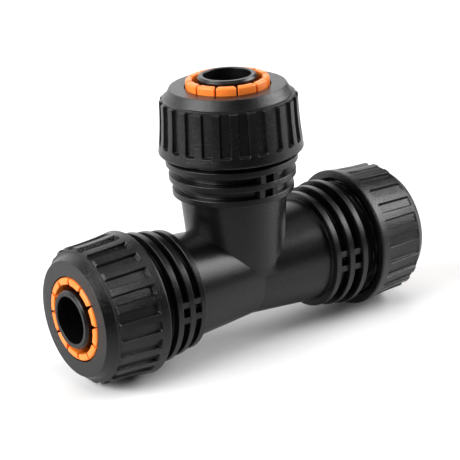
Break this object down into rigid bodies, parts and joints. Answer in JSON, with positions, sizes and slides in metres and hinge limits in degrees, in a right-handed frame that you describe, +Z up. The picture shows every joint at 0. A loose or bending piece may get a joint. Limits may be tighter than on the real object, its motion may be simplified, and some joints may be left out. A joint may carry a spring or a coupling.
{
  "type": "hose tee fitting",
  "caption": "Black plastic hose tee with a barbed tail, an orange split clamp ring and a ribbed screw-on clamping nut on every arm.",
  "frame": {"origin": "on the ground, straight below the point where the run's and the branch's axes cross", "axes": "+X along the run towards the right arm, +Z up along the branch, webs between the rings face -Y and +Y"},
  "size_m": [0.128, 0.0466, 0.0888],
  "materials": {
    "body_black": "smooth satin black moulded plastic",
    "nut_black": "finely textured black moulded plastic",
    "collet_orange": "smooth semi-gloss orange moulded plastic"
  },
  "bodies": {
    "tee_body": {"tee_body": "body_black"},
    "left_collet": {"left_collet": "collet_orange"},
    "left_nut": {"left_nut": "nut_black"},
    "right_collet": {"right_collet": "collet_orange"},
    "right_nut": {"right_nut": "nut_black"},
    "top_collet": {"top_collet": "collet_orange"},
    "top_nut": {"top_nut": "nut_black"}
  },
  "joints": [
    {"name": "left_nut_turn", "type": "hinge", "parent": "tee_body", "child": "left_collet", "pos_m": [-0.052, 0, 0.0233], "axis": [-1, 0, 0], "range_deg": [-418, 319]},
    {"name": "left_nut_travel", "type": "slide", "parent": "left_collet", "child": "left_nut", "axis": [-1, 0, 0], "range_m": [-0.00348, 0.00266]},
    {"name": "right_nut_turn", "type": "hinge", "parent": "tee_body", "child": "right_collet", "pos_m": [0.052, 0, 0.0233], "axis": [1, 0, 0], "range_deg": [-532, 205]},
    {"name": "right_nut_travel", "type": "slide", "parent": "right_collet", "child": "right_nut", "axis": [1, 0, 0], "range_m": [-0.00443, 0.00171]},
    {"name": "top_nut_turn", "type": "hinge", "parent": "tee_body", "child": "top_collet", "pos_m": [0, 0, 0.0763], "axis": [0, 0, 1], "range_deg": [-170, 567]},
    {"name": "top_nut_travel", "type": "slide", "parent": "top_collet", "child": "top_nut", "axis": [0, 0, 1], "range_m": [-0.00142, 0.00473]}
  ],
  "couplings": [
    {"joint": "left_nut_travel", "follows": "left_nut_turn", "m_per_rad": 0.00047746},
    {"joint": "right_nut_travel", "follows": "right_nut_turn", "m_per_rad": 0.00047746},
    {"joint": "top_nut_travel", "follows": "top_nut_turn", "m_per_rad": 0.00047746}
  ]
}
